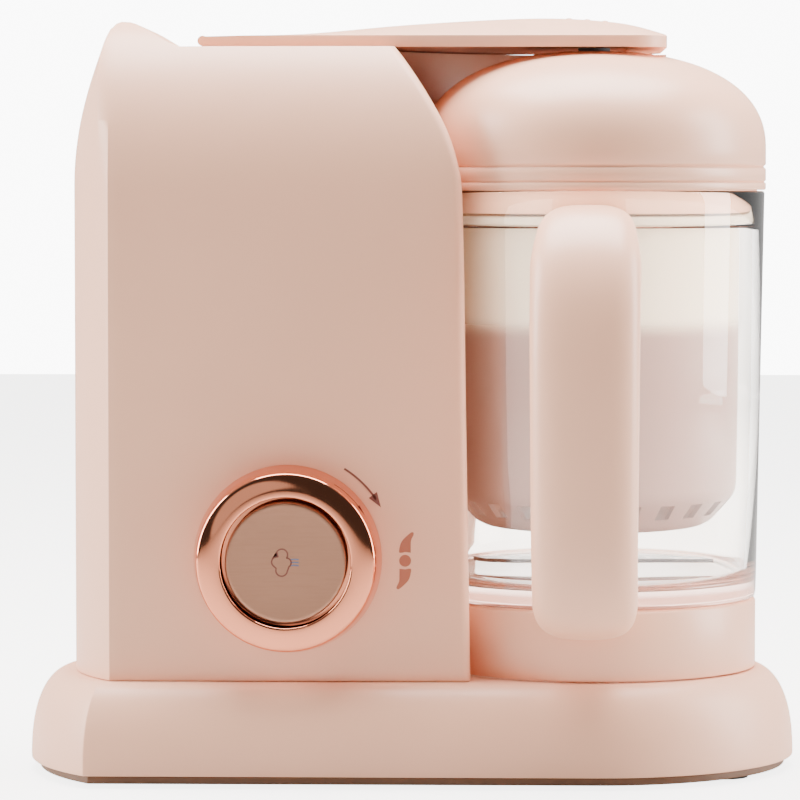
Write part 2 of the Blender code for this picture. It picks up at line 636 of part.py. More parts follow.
# ---- knob and button on the tower's front -------------------------------------------
def make_knob(knob, button):
    turned("knob_ring", "rose_gold",
           [(BUTTON_R + 0.0014, KNOB_HEIGHT - 0.0008), (BUTTON_R + 0.0024, KNOB_HEIGHT),
            (KNOB_FACE_R - 0.0006, KNOB_HEIGHT), (KNOB_FACE_R, KNOB_HEIGHT - 0.0006),
            (KNOB_R, GAP), (0.0036, GAP), (0.0036, 0.0060), (BUTTON_R + 0.0014, 0.0060)],
           KNOB, knob, along_front=True)
    turned("knob_shaft", "grey_nylon",
           [(0.0072, 0.0), (0.0072, -0.0230), (0.0036, -0.0230), (0.0036, 0.0)],
           KNOB, knob, sides=SMALL_ROUND, along_front=True)
    turned("steam_button", "satin_copper",
           [(0, 0.0150), (BUTTON_R - 0.0006, 0.0150), (BUTTON_R, 0.0144), (BUTTON_R, 0.0120),
            (0.0030, 0.0120), (0.0030, -0.0240), (0, -0.0240)],
           KNOB, button, closed=False, along_front=True)
    make_spring(knob)
    box("rotary_switch", "grey_nylon", KNOB + Vector((-0.015, 0.0040, -0.015)),
        KNOB + Vector((0.015, 0.0225, 0.015)))
    socket = cylinder("switch_bore", None, 0.0078, KNOB, KNOB + Vector((0, 0.030, 0)))
    boolean(bpy.data.objects["rotary_switch"], socket)
    box("button_switch", "black_rubber", KNOB + Vector((-0.007, 0.0265, -0.005)),
        KNOB + Vector((0.007, 0.0317, 0.005)))


def make_spring(knob):
    """Return spring under the button, drawn at its pressed length."""
    turns, per_turn, radius, wire = 3, 10, 0.0080, 0.00045
    low, high = 0.0060 + wire + GAP, 0.0100 - wire - GAP
    count = turns * per_turn
    curve = bpy.data.curves.new("button_spring", "CURVE")
    curve.dimensions = "3D"
    curve.bevel_depth = wire
    curve.bevel_resolution = 1
    curve.use_fill_caps = True
    spline = curve.splines.new("POLY")
    spline.points.add(count)
    for i in range(count + 1):
        angle = 2 * math.pi * i / per_turn
        height = low + (high - low) * i / count
        spline.points[i].co = (radius * math.cos(angle), radius * math.sin(angle), height, 1)
    spring = add_object("button_spring", curve, "steel", knob)
    spring.rotation_euler = (math.radians(90), 0, 0)
    place(spring, BOWL_AXIS + KNOB)


# ---- belt drive ---------------------------------------------------------------------
def add_dogs(coupler, low, high, start, count=4):
    """Join a ring of coupling teeth onto a coupler; start is in degrees."""
    for i in range(count):
        angle = math.radians(start + 360 / count * i)
        dog = box(f"{coupler.name}_dog_{i + 1}", None, (0.0055, -0.0020, low),
                  (0.0100, 0.0020, high))
        centre = Matrix.Rotation(angle, 3, "Z") @ Vector((0.00775, 0, (low + high) / 2))
        dog.rotation_euler = (0, 0, angle)
        dog.location = BOWL_AXIS + centre
        boolean(coupler, dog, "UNION")


def pulley(name, radius, bore, centre, parent, sides):
    rim = radius + 0.0005
    return turned(name, "grey_nylon",
                  [(rim, PULLEY_HIGH), (radius, PULLEY_HIGH - 0.0008), (radius, PULLEY_LOW + 0.0008),
                   (rim, PULLEY_LOW), (bore, PULLEY_LOW), (bore, PULLEY_HIGH)],
                  (*centre, 0), parent, sides=sides)


def belt_outline(grow):
    """Open-belt loop round both pulleys."""
    big, small = BIG_PULLEY_R + grow, SMALL_PULLEY_R + grow
    span = MOTOR.length
    heading = math.degrees(math.atan2(MOTOR.y, MOTOR.x))
    wrap = math.degrees(math.acos((big - small) / span))
    return (arc((0, 0), big, heading + wrap, heading + 360 - wrap, 20)
            + arc(MOTOR, small, heading - wrap, heading + wrap, 10))


def make_drive(drive, motor):
    turned("driven_pulley_hub", "brass",
           [(0.0062, PULLEY_HIGH), (0.0062, PULLEY_LOW), (SHAFT_R + GAP, PULLEY_LOW),
            (SHAFT_R + GAP, PULLEY_HIGH)], parent=drive, sides=SMALL_ROUND)
    pulley("driven_pulley", BIG_PULLEY_R, 0.0066, (0, 0), drive, ROUND)
    cylinder("drive_shaft", "steel", SHAFT_R, (0, 0, 0.0046), (0, 0, 0.0340), drive)
    lower = turned("drive_coupler", "grey_nylon",
                   [(0, 0.0400), (0.0105, 0.0400), (0.0110, 0.0395), (0.0110, 0.0345), (0, 0.0345)],
                   parent=drive, closed=False, sides=24)
    add_dogs(lower, 0.0395, 0.0430, 0)
    upper = turned("bowl_coupler", "grey_nylon",
                   [(0, 0.0490), (0.0105, 0.0490), (0.0110, 0.0485), (0.0110, 0.0436), (0, 0.0436)],
                   parent=drive, closed=False, sides=24)
    add_dogs(upper, 0.0404, 0.0440, 45)
    cylinder("blade_spindle", "steel", 0.0030, (0, 0, 0.0493), (0, 0, 0.0745), drive)
    make_blade(drive)

    belt = plate("drive_belt", "black_rubber", belt_outline(0.0018), 0.0130, 0.0180)
    boolean(belt, plate("belt_hollow", None, belt_outline(0.0004), 0.0100, 0.0220))

    cylinder("motor_shaft", "steel", 0.0025, (*MOTOR, 0.0100), (*MOTOR, 0.0386), motor, sides=16)
    pulley("motor_pulley", SMALL_PULLEY_R, 0.0029, MOTOR, motor, SMALL_ROUND)
    bracket = box("motor_bracket", "steel", (MOTOR.x - 0.0335, MOTOR.y - 0.030, BASE_TOP + GAP),
                  (MOTOR.x + 0.0335, MOTOR.y + 0.030, BASE_TOP + GAP + 0.0020))
    bracket_hole = cylinder("bracket_hole", None, 0.0045, (*MOTOR, 0.030), (*MOTOR, 0.040))
    boolean(bracket, bracket_hole)
    turned("motor_can", "steel",
           [(0, 0.1000), (0.0120, 0.1000), (0.0125, 0.0960), (0.0265, 0.0950), (0.0275, 0.0940),
            (0.0275, 0.0400), (0.0265, 0.0390), (0, 0.0390)], (*MOTOR, 0), closed=False, sides=32)

    turned("drive_bush", "brass",
           [(0.0100, 0.0338), (0.0100, 0.0314), (0.0140, 0.0314), (0.0140, 0.0270),
            (0.0044, 0.0270), (0.0044, 0.0338)], sides=24)
    turned("lower_bush", "brass",
           [(0.0090, 0.0085), (0.0090, PLATE_TOP + GAP), (0.0044, PLATE_TOP + GAP),
            (0.0044, 0.0085)], sides=24)


def make_blade(drive):
    """Flat S-shaped blade with its hub and nut, and the bush it turns in."""
    wing = [(0.0060, 0.0045), (0.0150, 0.0062), (0.0280, 0.0052), (0.0380, 0.0018),
            (0.0420, -0.0030), (0.0360, -0.0036), (0.0240, -0.0040), (0.0120, -0.0048),
            (0.0060, -0.0050)]
    outline = wing + [(-x, -y) for x, y in wing]
    blade = plate("chopping_blade", "steel", outline, 0.0674, 0.0688, drive)
    hole = cylinder("blade_hole", None, 0.0034, (0, 0, 0.060), (0, 0, 0.080))
    boolean(blade, hole)
    turned("blade_collar", "grey_nylon",
           [(0.0060, 0.0671), (0.0060, 0.0655), (0.0034, 0.0655), (0.0034, 0.0671)],
           parent=drive, sides=SMALL_ROUND)
    turned("blade_nut", "grey_nylon",
           [(0, 0.0765), (0.0040, 0.0760), (0.0056, 0.0740), (0.0060, 0.0691), (0.0034, 0.0691),
            (0.0034, 0.0748), (0, 0.0748)], parent=drive, closed=False, sides=SMALL_ROUND)


def make_inner_parts(bowl):
    turned("blade_bush", "grey_nylon",
           [(0.0059, 0.0640), (0.0059, 0.0597), (0.0085, 0.0597), (0.0085, 0.0560),
            (0.0034, 0.0560), (0.0034, 0.0640)], parent=bowl, sides=24)
    turned("blade_seal", "silicone",
           [(0.0080, 0.0557), (0.0080, 0.0540), (0.0034, 0.0540), (0.0034, 0.0557)],
           parent=bowl, sides=24)
    box("control_board", "green_board", (-0.1560, -0.025, 0.060), (-0.1544, 0.030, 0.150))
    box("relay", "black_rubber", (-0.1541, 0.010, 0.110), (-0.1420, 0.028, 0.128))
    box("capacitor", "aluminium", (-0.1541, -0.015, 0.115), (-0.1440, -0.003, 0.135))
    box("bowl_safety_switch", "black_rubber", (-0.079, 0.034, 0.044), (-0.072, 0.050, 0.060))


def main():
    axis = BOWL_AXIS.copy()
    arm = pivot("arm_pivot", axis + Vector((ARM_LEFT, 0, HINGE_Z)))
    bowl = pivot("bowl_pivot", axis + Vector((0, 0, BASE_TOP)))
    lid = pivot("lid_pivot", axis + Vector((0, 0, LID_BOTTOM)))
    drive = pivot("drive_pivot", axis)
    motor = pivot("motor_pivot", axis + Vector((*MOTOR, 0)))
    knob = pivot("knob_pivot", axis + KNOB)
    button = pivot("button_pivot", axis + KNOB)
    make_base()
    make_tower()
    make_boiler()
    make_arm(arm)
    make_bowl(bowl)
    make_basket(bowl)
    make_lid(lid)
    make_knob(knob, button)
    make_drive(drive, motor)
    make_inner_parts(bowl)


main()
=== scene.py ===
"""Looks of the baby food maker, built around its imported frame. Metres, +Z up, front towards -Y."""
import json
import math

import bmesh
import bpy
from mathutils import Matrix, Vector


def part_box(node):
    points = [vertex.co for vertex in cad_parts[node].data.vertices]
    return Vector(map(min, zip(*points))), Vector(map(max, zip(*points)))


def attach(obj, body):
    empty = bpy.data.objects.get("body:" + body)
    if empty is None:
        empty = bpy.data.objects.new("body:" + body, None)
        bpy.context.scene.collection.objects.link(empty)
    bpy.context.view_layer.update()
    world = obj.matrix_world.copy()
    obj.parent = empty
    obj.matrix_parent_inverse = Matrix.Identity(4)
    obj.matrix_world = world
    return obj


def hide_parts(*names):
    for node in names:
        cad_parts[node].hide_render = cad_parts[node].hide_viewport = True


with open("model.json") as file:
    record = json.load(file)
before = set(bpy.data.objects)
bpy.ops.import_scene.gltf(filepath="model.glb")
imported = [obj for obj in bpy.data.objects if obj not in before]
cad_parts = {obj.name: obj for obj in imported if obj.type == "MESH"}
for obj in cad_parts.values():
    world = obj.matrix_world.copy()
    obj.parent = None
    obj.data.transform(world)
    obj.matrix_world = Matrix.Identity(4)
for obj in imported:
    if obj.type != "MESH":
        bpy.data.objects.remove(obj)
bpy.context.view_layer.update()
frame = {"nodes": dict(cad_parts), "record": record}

MM = 0.001


def middle(node):
    low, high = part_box(node)
    return (Vector(low) + Vector(high)) / 2


AXIS = Vector((*middle("bowl_collar").xy, 0.0))      # the bowl's upright axis
BASE_LOW, BASE_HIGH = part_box("base_shell")[0][2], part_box("base_shell")[1][2]
TOWER_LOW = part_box("tower_shell")[0][2]
FRONT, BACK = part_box("tower_shell")[0][1] - AXIS.y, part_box("tower_shell")[1][1] - AXIS.y
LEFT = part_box("tower_shell")[0][0] - AXIS.x
KNOB = Vector((middle("knob_ring").x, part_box("tower_shell")[0][1], middle("knob_ring").z))
KNOB_R = (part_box("knob_ring")[1][0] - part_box("knob_ring")[0][0]) / 2
BUTTON_R = (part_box("steam_button")[1][0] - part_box("steam_button")[0][0]) / 2
MOUTH = Vector((*middle("boiler_seal").xy, 0.0))
HINGE = middle("arm_hinge_pin")

# tower outline, from the bowl's axis
SIDE_R, CREASE_X = 75 * MM, -163 * MM
SHELF_Z, RIDGE_Z = 247 * MM, 256 * MM
SHELF_LEFT, RIDGE_RIGHT = -140.5 * MM, -158.6 * MM
BEND_Z, BEND_DEPTH = 197 * MM, 44 * MM
RECESS_Y = -3 * MM
WING_RIGHT = 27 * MM

# base outline
SKIRT_OUT = 12.9 * MM
RING_R, BASE_FRONT, BASE_BACK = 56.4 * MM, -56 * MM, 66.5 * MM


# ---- mesh helpers -----------------------------------------------------------------
def new_object(name, mesh):
    obj = bpy.data.objects.new(name, mesh)
    bpy.context.scene.collection.objects.link(obj)
    return obj


def mesh_object(name, shape, angle=40):
    bmesh.ops.recalc_face_normals(shape, faces=shape.faces)
    mesh = bpy.data.meshes.new(name)
    shape.to_mesh(mesh)
    shape.free()
    mesh.shade_smooth()
    mesh.set_sharp_from_angle(angle=math.radians(angle))
    return new_object(name, mesh)


def rings_object(name, rings, caps=True, wrap=False, angle=40):
    """Skin over equal rings of points; wrap joins the last ring to the first."""
    shape = bmesh.new()
    rows = [[shape.verts.new(p) for p in ring] for ring in rings]
    pairs = list(zip(rows, rows[1:])) + ([(rows[-1], rows[0])] if wrap else [])
    for lower, upper in pairs:
        for i, corner in enumerate(lower):
            j = (i + 1) % len(lower)
            shape.faces.new((corner, lower[j], upper[j], upper[i]))
    if caps and not wrap:
        shape.faces.new(list(reversed(rows[0])))
        shape.faces.new(rows[-1])
    return mesh_object(name, shape, angle)


def turned(name, profile, centre=AXIS, steps=128, on_axis=False, to_front=False, angle=40):
    """Turn a profile of (radius, height). on_axis profiles start and end at radius 0."""
    inner = profile[1:-1] if on_axis else profile
    rings = []
    for r, z in inner:
        rings.append([(r * math.cos(2 * math.pi * i / steps),
                       r * math.sin(2 * math.pi * i / steps), z) for i in range(steps)])
    obj = rings_object(name, rings, caps=on_axis, wrap=not on_axis, angle=angle)
    if to_front:
        obj.data.transform(Matrix.Rotation(math.radians(90), 4, "X"))
    obj.data.transform(Matrix.Translation(centre))
    return obj


def rod(name, radius, front, back, x, z, steps=32):
    """Round rod along Y, from front to back of the bowl's axis, at world x and z."""
    obj = turned(name, [(0, front), (radius, front), (radius, back), (0, back)],
                 Vector((0, 0, 0)), steps, on_axis=True)
    obj.data.transform(Matrix.Rotation(math.radians(-90), 4, "X"))
    obj.data.transform(Matrix.Translation((x, AXIS.y, z)))
    return obj


def prism(name, outline, low, high, direction="Z"):
    """Outline of (x, y) points raised from low to high, or laid along X or Y."""
    turn = {"X": Matrix(((0, 0, 1), (1, 0, 0), (0, 1, 0))),
            "Y": Matrix(((1, 0, 0), (0, 0, 1), (0, 1, 0))),
            "Z": Matrix.Identity(3)}[direction]
    rings = [[turn @ Vector((x, y, level)) + AXIS for x, y in outline] for level in (low, high)]
    return rings_object(name, rings)


def block(name, low, high):
    """Box between two corners, measured from the bowl's axis."""
    (x0, y0, z0), (x1, y1, z1) = low, high
    return prism(name, [(x0, y0), (x1, y0), (x1, y1), (x0, y1)], z0, z1)


def arc(centre, width, height, start, end, steps):
    points = []
    for i in range(steps + 1):
        angle = math.radians(start + (end - start) * i / steps)
        points.append((centre[0] + width * math.cos(angle), centre[1] + height * math.sin(angle)))
    return points


def apply_modifiers(obj):
    """Bake the modifiers into the mesh."""
    graph = bpy.context.evaluated_depsgraph_get()
    mesh = bpy.data.meshes.new_from_object(obj.evaluated_get(graph))
    obj.modifiers.clear()
    obj.data = mesh
    return obj


def cut(obj, other, operation="DIFFERENCE"):
    modifier = obj.modifiers.new("cut", "BOOLEAN")
    modifier.operation = operation
    modifier.object = other
    apply_modifiers(obj)
    bpy.data.objects.remove(other, do_unlink=True)


def add_bevel(obj, width, segments=3, angle=30):
    bevel = obj.modifiers.new("bevel", "BEVEL")
    bevel.width = width
    bevel.segments = segments
    bevel.limit_method = "ANGLE"
    bevel.angle_limit = math.radians(angle)
    apply_modifiers(obj)
    obj.data.shade_smooth()
    obj.data.set_sharp_from_angle(angle=math.radians(50))


def smooth_height(points, x):
    """Cubic curve through a few chosen (x, height) points."""
    if x <= points[0][0]:
        return points[0][1]
    for i in range(len(points) - 1):
        (x0, y0), (x1, y1) = points[i], points[i + 1]
        if x <= x1:
            before = points[max(i - 1, 0)]
            after = points[min(i + 2, len(points) - 1)]
            m0 = (y1 - before[1]) / (x1 - before[0])
            m1 = (after[1] - y0) / (after[0] - x0)
            t, span = (x - x0) / (x1 - x0), x1 - x0
            return ((2 * t**3 - 3 * t**2 + 1) * y0 + (t**3 - 2 * t**2 + t) * span * m0
                    + (3 * t**2 - 2 * t**3) * y1 + (t**3 - t**2) * span * m1)
    return points[-1][1]


def smooth_path(points, count):
    """Smooth samples through chosen points, which may hold any count of numbers each."""
    samples = []
    last = len(points) - 1
    for k in range(count + 1):
        place = last * k / count
        i = min(int(place), last - 1)
        t = place - i
        p0, p1 = points[max(i - 1, 0)], points[i]
        p2, p3 = points[i + 1], points[min(i + 2, last)]
        samples.append([0.5 * (2 * b + (c - a) * t + (2 * a - 5 * b + 4 * c - d) * t * t
                               + (3 * b - a - 3 * c + d) * t ** 3)
                        for a, b, c, d in zip(p0, p1, p2, p3)])
    return samples


# ---- materials --------------------------------------------------------------------
def linear(red, green, blue):
    """Linear colour of an 8-bit display colour."""
    return tuple(((c / 255 + 0.055) / 1.055) ** 2.4 if c > 10 else c / 3295
                 for c in (red, green, blue))


def new_material(name):
    material = bpy.data.materials.new(name)
    material.use_nodes = True
    return material, material.node_tree, material.node_tree.nodes["Principled BSDF"]


def noise(tree, scale, detail=3.0, stretch=(1, 1, 1)):
    where = tree.nodes.new("ShaderNodeTexCoord")
    mapping = tree.nodes.new("ShaderNodeMapping")
    mapping.inputs["Scale"].default_value = stretch
    texture = tree.nodes.new("ShaderNodeTexNoise")
    texture.inputs["Scale"].default_value = scale
    texture.inputs["Detail"].default_value = detail
    tree.links.new(where.outputs["Object"], mapping.inputs["Vector"])
    tree.links.new(mapping.outputs["Vector"], texture.inputs["Vector"])
    return texture.outputs["Fac"]


def ramp(tree, value, low, high, start=0.35, end=0.65):
    node = tree.nodes.new("ShaderNodeValToRGB")
    node.color_ramp.elements[0].position = start
    node.color_ramp.elements[1].position = end
    node.color_ramp.elements[0].color = (*low, 1)
    node.color_ramp.elements[1].color = (*high, 1)
    tree.links.new(value, node.inputs["Fac"])
    return node.outputs["Color"]


def spread(tree, value, low, high):
    node = tree.nodes.new("ShaderNodeMapRange")
    node.inputs["From Min"].default_value = 0.3
    node.inputs["From Max"].default_value = 0.7
    node.inputs["To Min"].default_value = low
    node.inputs["To Max"].default_value = high
    tree.links.new(value, node.inputs["Value"])
    return node.outputs["Result"]


def add_bump(tree, shader, value, depth, strength=1.0):
    bump = tree.nodes.new("ShaderNodeBump")
    bump.inputs["Strength"].default_value = strength
    bump.inputs["Distance"].default_value = depth
    tree.links.new(value, bump.inputs["Height"])
    tree.links.new(bump.outputs["Normal"], shader.inputs["Normal"])


def tint(colour, factor):
    return tuple(min(1.0, c * factor) for c in colour)


def moulded(name, colour, roughness, grain=0.00002, grain_scale=1400, vary=0.03, coat=0.0):
    """Moulded plastic: fine grain, faint unevenness in colour and gloss."""
    material, tree, shader = new_material(name)
    cloud = noise(tree, 9)
    tree.links.new(ramp(tree, cloud, tint(colour, 1 - vary), tint(colour, 1 + vary)),
                   shader.inputs["Base Color"])
    tree.links.new(spread(tree, noise(tree, 60, 5), roughness - 0.04, roughness + 0.05),
                   shader.inputs["Roughness"])
    shader.inputs["Coat Weight"].default_value = coat
    shader.inputs["Coat Roughness"].default_value = 0.25
    add_bump(tree, shader, noise(tree, grain_scale, 2), grain, 0.6)
    return material


def metal(name, colour, roughness, brushed=(1, 1, 1), grain=0.000004, scale=300):
    material, tree, shader = new_material(name)
    shader.inputs["Metallic"].default_value = 1.0
    streak = noise(tree, scale, 4, brushed)
    tree.links.new(ramp(tree, noise(tree, 14), tint(colour, 0.96), tint(colour, 1.04)),
                   shader.inputs["Base Color"])
    tree.links.new(spread(tree, streak, roughness * 0.8, roughness * 1.25),
                   shader.inputs["Roughness"])
    add_bump(tree, shader, streak, grain, 0.5)
    return material


def by_height(tree, low, high):
    """0 below one height and 1 above another."""
    where = tree.nodes.new("ShaderNodeTexCoord")
    split = tree.nodes.new("ShaderNodeSeparateXYZ")
    tree.links.new(where.outputs["Object"], split.inputs["Vector"])
    level = tree.nodes.new("ShaderNodeMapRange")
    level.interpolation_type = "SMOOTHSTEP"
    level.inputs["From Min"].default_value = low
    level.inputs["From Max"].default_value = high
    tree.links.new(split.outputs["Z"], level.inputs["Value"])
    return level.outputs["Result"]


def set_by(tree, value, socket, low, high):
    node = tree.nodes.new("ShaderNodeMapRange")
    node.inputs["To Min"].default_value = low
    node.inputs["To Max"].default_value = high
    tree.links.new(value, node.inputs["Value"])
    tree.links.new(node.outputs["Result"], socket)


def clear_bowl():
    """Clear plastic with painted shade where its wall is seen edge on, and a tinted, half opaque
    foot.
    """
    colour, edge, foot = linear(252, 248, 243), linear(96, 88, 88), linear(226, 170, 148)
    material, tree, shader = new_material("clear_bowl")
    facing = tree.nodes.new("ShaderNodeLayerWeight")
    facing.inputs["Blend"].default_value = 0.5
    above = by_height(tree, 62 * MM, 64 * MM)
    blend = tree.nodes.new("ShaderNodeMix")
    blend.data_type = "RGBA"
    blend.inputs["A"].default_value = (*foot, 1)
    tree.links.new(above, blend.inputs["Factor"])
    # painted shade: the base colour turns dark grey where the wall is seen edge on, standing for the
    # dark edges that refraction gives thick clear plastic
    tree.links.new(ramp(tree, facing.outputs["Facing"], colour, edge, 0.62, 0.93),
                   blend.inputs["B"])
    tree.links.new(blend.outputs["Result"], shader.inputs["Base Color"])
    set_by(tree, above, shader.inputs["Transmission Weight"], 0.55, 1.0)
    shader.inputs["IOR"].default_value = 1.49
    shader.inputs["Roughness"].default_value = 0.015
    add_bump(tree, shader, noise(tree, 40, 1), 0.00001, 0.3)
    pass_lamps(tree, shader, (0.95, 0.93, 0.91))
    return material


def tinted_basket():
    """Cream at the top, frosted and mauve-grey lower down."""
    material, tree, shader = new_material("basket_two_tone")
    above = by_height(tree, 148 * MM, 156 * MM)
    tree.links.new(ramp(tree, above, linear(180, 140, 126), linear(255, 238, 212), 0.0, 1.0),
                   shader.inputs["Base Color"])
    set_by(tree, above, shader.inputs["Roughness"], 0.42, 0.2)
    set_by(tree, above, shader.inputs["Transmission Weight"], 0.5, 0.35)
    shader.inputs["IOR"].default_value = 1.45
    add_bump(tree, shader, noise(tree, 500, 2), 0.00001, 0.3)
    pass_lamps(tree, shader, (0.80, 0.74, 0.71))
    return material


def pass_lamps(tree, shader, colour):
    """Clear plastic lets lamps through: shadow rays meet a transparent surface."""
    see_through = tree.nodes.new("ShaderNodeBsdfTransparent")
    see_through.inputs["Color"].default_value = (*colour, 1)
    path = tree.nodes.new("ShaderNodeLightPath")
    blend = tree.nodes.new("ShaderNodeMixShader")
    tree.links.new(path.outputs["Is Shadow Ray"], blend.inputs["Fac"])
    tree.links.new(shader.outputs["BSDF"], blend.inputs[1])
    tree.links.new(see_through.outputs["BSDF"], blend.inputs[2])
    output = tree.nodes["Material Output"]
    tree.links.new(blend.outputs["Shader"], output.inputs["Surface"])


PEACH = linear(240, 183, 152)
MATERIALS = {
    "peach": moulded("peach_matte", PEACH, 0.42, coat=0.06),
    "peach_soft": moulded("peach_satin", tint(PEACH, 1.02), 0.36, coat=0.1),
    # brown_plastic is brown plastic made darker as painted shade, so the plinth under the skirt reads
    # as the shadowed strip
    "brown_with_painted_shade": moulded("brown_plastic", linear(112, 80, 56), 0.55),
    "rose": metal("rose_gold_mirror", linear(240, 152, 116), 0.07),
    "copper": metal("copper_satin", linear(180, 134, 110), 0.42, (1, 1, 14), 0.000006, 120),
    "blade": metal("blade_steel", linear(96, 92, 94), 0.3, (1, 1, 6)),
    "steel": metal("plain_steel", linear(190, 190, 192), 0.28, (1, 1, 6)),
    "aluminium": metal("plain_aluminium", linear(200, 200, 200), 0.4),
    "brass": metal("plain_brass", linear(200, 165, 95), 0.32),
    "silicone": moulded("soft_silicone", linear(226, 222, 216), 0.6, 0.00001, 900),
    "rubber": moulded("black_rubber", linear(34, 33, 32), 0.75, 0.00004, 700, 0.1),
    "nylon": moulded("grey_nylon", linear(120, 120, 122), 0.5),
    "board": moulded("green_board", linear(30, 92, 58), 0.4, 0.00001, 300, 0.12),
    "clear": clear_bowl(),
    "basket": tinted_basket(),
    "icon_brown": moulded("icon_brown", linear(120, 66, 56), 0.5),
    "icon_copper": moulded("icon_copper", linear(172, 96, 70), 0.4),
    "icon_blue": moulded("icon_blue", linear(96, 108, 140), 0.5),
}
SLOT_LOOKS = {"peach_plastic": "peach", "brown_plastic": "brown_with_painted_shade", "rose_gold": "rose",
              "satin_copper": "copper", "clear_bowl": "clear", "tinted_basket": "basket",
              "steel": "steel", "aluminium": "aluminium", "silicone": "silicone",
              "black_rubber": "rubber", "grey_nylon": "nylon", "brass": "brass",
              "green_board": "board"}
NODE_LOOKS = {"chopping_blade": "blade"}


def settle(piece, look, body, slot, *replaced):
    """Give a finished piece its material, its body and the nodes it stands for."""
    piece.data.materials.clear()
    piece.data.materials.append(MATERIALS[look])
    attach(piece, body)
    if replaced:
        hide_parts(*replaced)


def dress_frame():
    """Procedural materials on every node that keeps its own mesh."""
    for part in frame["record"]["subparts"]:
        obj = frame["nodes"][part["node"]]
        look = MATERIALS[NODE_LOOKS.get(part["node"], SLOT_LOOKS[part["material_slot"]])]
        for place in obj.material_slots:
            place.material = look


# ---- base -------------------------------------------------------------------------
def side_circle(offset):
    centre_x = LEFT + SIDE_R
    reach = math.sqrt(SIDE_R ** 2 - (CREASE_X - centre_x) ** 2)
    return (centre_x, FRONT + reach), SIDE_R + offset


def left_side(offset, front, back, steps):
    centre, radius = side_circle(offset)
    crease = 180 + math.degrees(math.asin((centre[1] - front) / radius))
    return (arc(centre, radius, back - centre[1], 90, 180, steps)
            + arc(centre, radius, radius, 180, crease, steps // 2)[1:])


def base_outline(offset, steps=40):
    front, back, ring = BASE_FRONT - offset, BASE_BACK + 0.2 * offset, RING_R + offset
    return (arc((0, 0), ring, ring, -90, 0, steps) + arc((0, 0), ring, back, 0, 90, steps)[1:]
            + left_side(offset + 2.5 * MM, front, back, steps))


def skirt_offset(level):
    """Quarter-ellipse skirt; level is 0 at the ground and 1 at the top."""
    return SKIRT_OUT * math.sqrt(max(0.0, 1 - level ** 2.4))


def make_base():
    height = BASE_HIGH - BASE_LOW
    rings = []
    for step in range(25):
        level = math.sin(math.pi / 2 * step / 24)
        rings.append([(x + AXIS.x, y + AXIS.y, BASE_LOW + height * level)
                      for x, y in base_outline(skirt_offset(level) - 0.05 * MM)])
    base = rings_object("base_body", rings, angle=25)
    well = turned("well", [(0, 40 * MM), (10.3 * MM, 40 * MM), (10.3 * MM, 0), (0, 0)],
                  steps=64, on_axis=True)
    cut(base, well)
    hollow = prism("hollow", base_outline(-4 * MM), 0, BASE_HIGH - 2.5 * MM)
    cut(base, hollow)
    add_bevel(base, 0.45 * MM, 3, 34)
    settle(base, "peach", "root", "peach_plastic", "base_shell")

    # The plinth's dark brown is partly its own colour and partly painted shade, for the shadowed
    # strip under the base's skirt.
    low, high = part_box("bottom_plate")[0][2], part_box("bottom_plate")[1][2]
    plinth = prism("plinth", base_outline(SKIRT_OUT - 3 * MM), low, high)
    add_bevel(plinth, 0.4 * MM)
    settle(plinth, "brown_with_painted_shade", "root", "brown_plastic", "bottom_plate")


# ---- tower ------------------------------------------------------------------------
FILLET = 3.0 * MM
RECESS = [(z * MM, r * MM) for z, r in        # height, and radius at the front edge
          [(34.0, 62.8), (120.0, 63.8), (198.0, 64.8), (217.0, 66.3), (227.0, 68.1),
           (236.0, 70.1), (244.0, 72.2), (248.0, 73.6)]]
RECESS_BACK_R = 65.0 * MM
WING_LOW, WING_HIGH = 60 * MM, 150 * MM
SIDE_END, WING_CURVE = -46 * MM, 60 * MM
LEAN_FROM, LEAN_RADIUS = 200 * MM, 104 * MM                 # the left side leans in above this
TOWER_WALL, WING_EDGE_R = 2.4 * MM, 1.0 * MM


def front_at(z):
    """The front is flat, then curves back to the top as part of an ellipse."""
    rise = min(max((z - BEND_Z) / (RIDGE_Z + 0.5 * MM - BEND_Z), 0.0), 0.995)
    return FRONT + BEND_DEPTH * (1 - math.sqrt(1 - rise * rise))


def wing_end(z):
    """Where the rear wall ends: it sweeps out behind the bowl above the handle's middle."""
    rise = min(max((z - WING_LOW) / (WING_HIGH - WING_LOW), 0.0), 1.0)
    return min(WING_RIGHT, WING_CURVE - (WING_CURVE - SIDE_END) * math.sqrt(1 - rise * rise))


def recess_arc(z, grow, start, end, steps):
    """Hollow for the bowl, flared at its front edge only; angles in degrees, clockwise."""
    edge = smooth_height(RECESS, z) + grow
    back = min(edge, RECESS_BACK_R + grow)
    points = []
    for i in range(steps + 1):
        t = i / steps
        angle = math.radians(start + (end - start) * t)
        radius = edge + (back - edge) * (t * t * (3 - 2 * t))
        points.append((radius * math.cos(angle), RECESS_Y + radius * math.sin(angle)))
    return points


